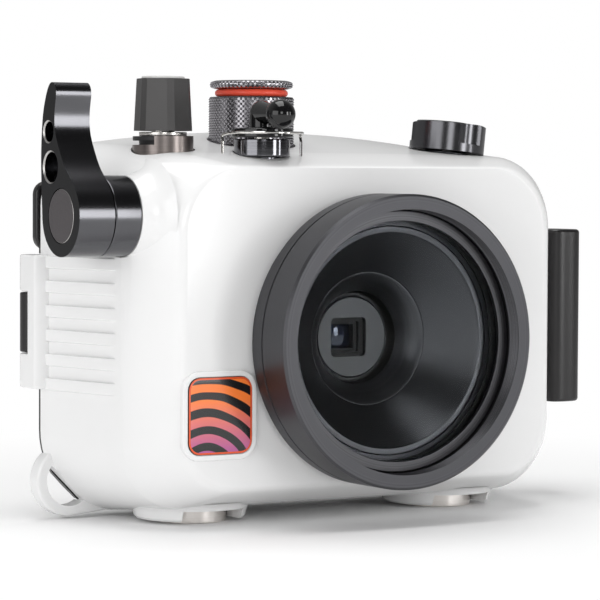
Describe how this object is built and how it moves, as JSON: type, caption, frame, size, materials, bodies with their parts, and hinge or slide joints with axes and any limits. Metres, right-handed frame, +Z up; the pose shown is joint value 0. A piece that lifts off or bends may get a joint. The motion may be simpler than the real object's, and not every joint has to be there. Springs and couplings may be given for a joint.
{
  "type": "underwater camera housing",
  "caption": "White underwater housing for a compact camera, with a threaded round port, side shutter lever, roof controls, a hinged clear door with push buttons and a side latch.",
  "frame": {"origin": "middle of the bounding box in X and Y, on the plane that the two tray standoffs stand on", "axes": "+X to the right as seen from in front of the port, so the latch is at +X and the shutter lever and hinge at -X; the port looks along -Y and the door closes the +Y side; +Z is up"},
  "size_m": [0.1684, 0.0764, 0.1144],
  "materials": {
    "white_plastic": "glossy white moulding",
    "badge_black": "black plate under a clear dome",
    "nickel": "brushed",
    "grey_anodised": "satin dark grey anodised",
    "port_glass": "clear coated",
    "clear_plastic": "clear",
    "black_rubber": "satin",
    "dark_metal": "black anodised",
    "camera_black": "fine grain",
    "satin_grey": "satin",
    "gloss_black": "polished",
    "black_plastic": "moulded, fine texture",
    "steel": "bright",
    "red_rubber": "lightly greased"
  },
  "bodies": {
    "housing": {"shell": "white_plastic", "badge": "badge_black", "standoff_left": "nickel", "standoff_right": "nickel", "port_barrel": "grey_anodised", "port_base_ring": "grey_anodised", "port_window": "port_glass", "port_window_seal": "black_rubber", "port_window_ring": "dark_metal", "lens_baffle": "dark_metal", "power_collar": "dark_metal", "valve_base_ring": "dark_metal", "valve_body": "dark_metal", "zoom_gland": "dark_metal", "dial_gland": "dark_metal", "camera_body": "camera_black", "camera_lens_tube": "camera_black", "camera_lens_face": "satin_grey", "camera_screen": "gloss_black", "lever_gland": "gloss_black", "camera_tray": "black_plastic", "power_sleeve": "black_plastic", "shutter_spring": "steel", "zoom_spring": "steel", "hinge_pin": "steel", "latch_pivot_pin": "steel"},
    "shutter": {"shutter_lever": "gloss_black", "shutter_lever_cap": "dark_metal", "shutter_shaft": "steel", "shutter_inner_arm": "black_plastic"},
    "power_press": {"power_shaft": "steel"},
    "power_turn": {"power_knob": "satin_grey", "power_knob_insert": "white_plastic"},
    "valve_lift": {"valve_cap_seal": "red_rubber"},
    "valve_turn": {"valve_cap": "dark_metal"},
    "zoom": {"zoom_hub": "gloss_black", "zoom_ball": "gloss_black", "zoom_shaft": "steel", "zoom_fork": "black_plastic"},
    "dial": {"dial_knob": "gloss_black", "dial_shaft": "steel", "dial_drive_wheel": "black_rubber"},
    "door": {"door_frame": "black_plastic", "door_window": "clear_plastic", "door_seal": "black_rubber", "button_plate": "black_plastic"},
    "latch": {"latch_lever": "black_plastic", "latch_hook_pin": "steel"},
    "latch_bail": {"latch_hook": "black_plastic"},
    "button_ok": {"button_ok": "black_plastic"},
    "button_up": {"button_up": "black_plastic"},
    "button_down": {"button_down": "black_plastic"},
    "button_left": {"button_left": "black_plastic"},
    "button_right": {"button_right": "black_plastic"},
    "button_play": {"button_play": "black_plastic"},
    "button_delete": {"button_delete": "black_plastic"},
    "button_menu": {"button_menu": "black_plastic"}
  },
  "joints": [
    {"name": "shutter_pull", "type": "hinge", "parent": "housing", "child": "shutter", "pos_m": [-0.079, -0.00495, 0.079], "axis": [-1, 0, 0], "range_deg": [0, 20], "stiffness_Nm_per_rad": 0.3, "springref_deg": -17.19},
    {"name": "power_push", "type": "slide", "parent": "housing", "child": "power_press", "axis": [0, 0, -1], "range_m": [0, 0.001], "stiffness_N_per_m": 400, "springref_m": -0.001},
    {"name": "power_knob_turn", "type": "hinge", "parent": "power_press", "child": "power_turn", "pos_m": [-0.0506, 0.00375, 0.11], "axis": [0, 0, 1], "continuous": true},
    {"name": "valve_cap_rise", "type": "slide", "parent": "housing", "child": "valve_lift", "axis": [0, 0, 1], "range_m": [0, 0.00375]},
    {"name": "valve_cap_screw", "type": "hinge", "parent": "valve_lift", "child": "valve_turn", "pos_m": [-0.0202, 0.01075, 0.112], "axis": [0, 0, 1], "range_deg": [0, 1080]},
    {"name": "zoom_turn", "type": "hinge", "parent": "housing", "child": "zoom", "pos_m": [-0.0283, -0.00825, 0.1], "axis": [0, 0, 1], "range_deg": [-25, 25], "stiffness_Nm_per_rad": 0.05},
    {"name": "dial_turn", "type": "hinge", "parent": "housing", "child": "dial", "pos_m": [0.0385, 0.00575, 0.0949], "axis": [0.108, 0, 0.9942], "continuous": true},
    {"name": "door_swing", "type": "hinge", "parent": "housing", "child": "door", "pos_m": [-0.0738, 0.03115, 0.0512], "axis": [0, 0, 1], "range_deg": [0, 110]},
    {"name": "latch_swing", "type": "hinge", "parent": "housing", "child": "latch", "pos_m": [0.0753, 0.02225, 0.0504], "axis": [0, 0, 1], "range_deg": [0, 90]},
    {"name": "latch_bail_swing", "type": "hinge", "parent": "latch", "child": "latch_bail", "pos_m": [0.0783, 0.01525, 0.0504], "axis": [0, 0, 1], "range_deg": [-90, 0]},
    {"name": "button_ok_press", "type": "slide", "parent": "door", "child": "button_ok", "axis": [0, -1, 0], "range_m": [0, 0.002], "stiffness_N_per_m": 400, "springref_m": -0.001},
    {"name": "button_up_press", "type": "slide", "parent": "door", "child": "button_up", "axis": [0, -1, 0], "range_m": [0, 0.002], "stiffness_N_per_m": 400, "springref_m": -0.001},
    {"name": "button_down_press", "type": "slide", "parent": "door", "child": "button_down", "axis": [0, -1, 0], "range_m": [0, 0.002], "stiffness_N_per_m": 400, "springref_m": -0.001},
    {"name": "button_left_press", "type": "slide", "parent": "door", "child": "button_left", "axis": [0, -1, 0], "range_m": [0, 0.002], "stiffness_N_per_m": 400, "springref_m": -0.001},
    {"name": "button_right_press", "type": "slide", "parent": "door", "child": "button_right", "axis": [0, -1, 0], "range_m": [0, 0.002], "stiffness_N_per_m": 400, "springref_m": -0.001},
    {"name": "button_play_press", "type": "slide", "parent": "door", "child": "button_play", "axis": [0, -1, 0], "range_m": [0, 0.002], "stiffness_N_per_m": 400, "springref_m": -0.001},
    {"name": "button_delete_press", "type": "slide", "parent": "door", "child": "button_delete", "axis": [0, -1, 0], "range_m": [0, 0.002], "stiffness_N_per_m": 400, "springref_m": -0.001},
    {"name": "button_menu_press", "type": "slide", "parent": "door", "child": "button_menu", "axis": [0, -1, 0], "range_m": [0, 0.002], "stiffness_N_per_m": 400, "springref_m": -0.001}
  ],
  "couplings": [
    {"joint": "valve_cap_screw", "follows": "valve_cap_rise", "rad_per_m": 5026.5},
    {"joint": "latch_bail_swing", "follows": "latch_swing", "ratio": -1}
  ]
}
